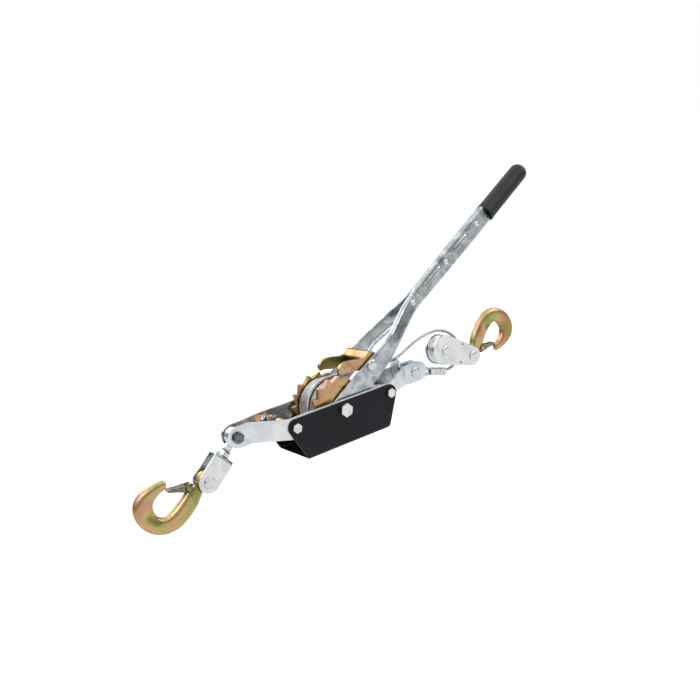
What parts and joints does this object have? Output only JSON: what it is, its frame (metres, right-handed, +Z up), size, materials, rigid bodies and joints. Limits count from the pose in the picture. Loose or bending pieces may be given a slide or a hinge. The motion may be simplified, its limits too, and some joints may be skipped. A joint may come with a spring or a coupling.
{
  "type": "come along winch",
  "caption": "Hand lever winch: ratchet drum with wire rope in a folded tray, forked lever with a soft grip, a swivel anchor hook and a pulley block with a load hook.",
  "frame": {"origin": "middle of the flat underside of the tray", "axes": "+X along the frame from the anchor hook towards the pulley block, +Z up, Y along the drum's axle"},
  "size_m": [0.6152, 0.0826, 0.2968],
  "materials": {
    "zinc": "bright zinc plate",
    "zinc_dark": "bare spring and pin steel",
    "chromate": "iridescent yellow chromate over zinc",
    "powder_coat": "satin black powder coat",
    "rubber_grip": "soft black plastic",
    "wire_rope": "galvanised strand"
  },
  "bodies": {
    "frame": {"near_side_plate": "zinc", "far_side_plate": "zinc", "tray": "powder_coat", "tie_bolts": "zinc", "tie_nuts": "zinc", "tie_spacers": "zinc", "axle_bolt": "zinc", "axle_nut": "zinc", "axle_washers": "zinc", "nose_bolt": "zinc_dark", "nose_nut": "zinc_dark", "anchor_pin": "zinc", "cable_guide": "zinc", "stop_pawl_spring": "zinc_dark", "cable": "wire_rope", "thimble": "zinc_dark", "ferrule": "zinc"},
    "drum": {"drum_core": "chromate", "near_ratchet_wheel": "chromate", "far_ratchet_wheel": "chromate", "wound_cable": "wire_rope"},
    "handle": {"near_handle_half": "zinc", "far_handle_half": "zinc", "handle_rivets": "zinc", "grip": "rubber_grip", "pawl_pin": "zinc", "drive_pawl_spring": "zinc_dark"},
    "drive_pawl": {"drive_pawl": "chromate"},
    "stop_pawl": {"stop_pawl": "chromate"},
    "swivel_eye": {"swivel_eye": "zinc"},
    "hook_yoke": {"hook_yoke": "zinc", "yoke_pin": "zinc"},
    "front_hook": {"front_hook": "chromate", "front_latch_rivet": "chromate", "front_latch_spring": "zinc_dark"},
    "front_latch": {"front_latch": "chromate"},
    "block": {"near_block_plate": "zinc", "far_block_plate": "zinc", "sheave_axle": "zinc", "block_pin": "zinc"},
    "sheave": {"sheave": "zinc"},
    "rear_hook": {"rear_hook": "chromate", "rear_latch_rivet": "chromate", "rear_latch_spring": "zinc_dark"},
    "rear_latch": {"rear_latch": "chromate"}
  },
  "joints": [
    {"name": "drum_spin", "type": "hinge", "parent": "frame", "child": "drum", "pos_m": [0, 0, 0.041], "axis": [0, -1, 0], "range_deg": [-6345, 135]},
    {"name": "handle_swing", "type": "hinge", "parent": "frame", "child": "handle", "pos_m": [0, 0, 0.041], "axis": [0, -1, 0], "range_deg": [0, 90]},
    {"name": "drive_pawl_lift", "type": "hinge", "parent": "handle", "child": "drive_pawl", "pos_m": [0.05108, 0, 0.07838], "axis": [0, -1, 0], "range_deg": [-25, 7], "stiffness_Nm_per_rad": 0.15, "springref_deg": 22.92},
    {"name": "stop_pawl_lift", "type": "hinge", "parent": "frame", "child": "stop_pawl", "pos_m": [-0.065, 0, 0.041], "axis": [0, -1, 0], "range_deg": [-25, 0], "stiffness_Nm_per_rad": 0.15, "springref_deg": 22.92},
    {"name": "nose_swing", "type": "hinge", "parent": "frame", "child": "swivel_eye", "pos_m": [-0.124, 0, 0.0457], "axis": [0, -1, 0], "range_deg": [-40, 60]},
    {"name": "neck_swivel", "type": "hinge", "parent": "swivel_eye", "child": "hook_yoke", "pos_m": [-0.124, 0, 0.0457], "axis": [-0.7615, 0, -0.6481], "continuous": true},
    {"name": "front_hook_swing", "type": "hinge", "parent": "hook_yoke", "child": "front_hook", "pos_m": [-0.16665, 0, 0.00941], "axis": [0, -1, 0], "range_deg": [-45, 75]},
    {"name": "front_latch_open", "type": "hinge", "parent": "front_hook", "child": "front_latch", "pos_m": [-0.1886, 0, 0.01022], "axis": [0, -1, 0], "range_deg": [0, 30], "stiffness_Nm_per_rad": 0.02, "springref_deg": -17.19},
    {"name": "block_swing", "type": "hinge", "parent": "frame", "child": "block", "pos_m": [0.1765, 0, 0.059], "axis": [0, -1, 0], "range_deg": [-25, 20]},
    {"name": "sheave_spin", "type": "hinge", "parent": "block", "child": "sheave", "pos_m": [0.1765, 0, 0.059], "axis": [0, -1, 0], "continuous": true},
    {"name": "rear_hook_swing", "type": "hinge", "parent": "block", "child": "rear_hook", "pos_m": [0.21972, 0, 0.0393], "axis": [0, -1, 0], "range_deg": [-75, 30]},
    {"name": "rear_latch_open", "type": "hinge", "parent": "rear_hook", "child": "rear_latch", "pos_m": [0.24127, 0, 0.04356], "axis": [0, -1, 0], "range_deg": [0, 30], "stiffness_Nm_per_rad": 0.02, "springref_deg": -17.19}
  ]
}
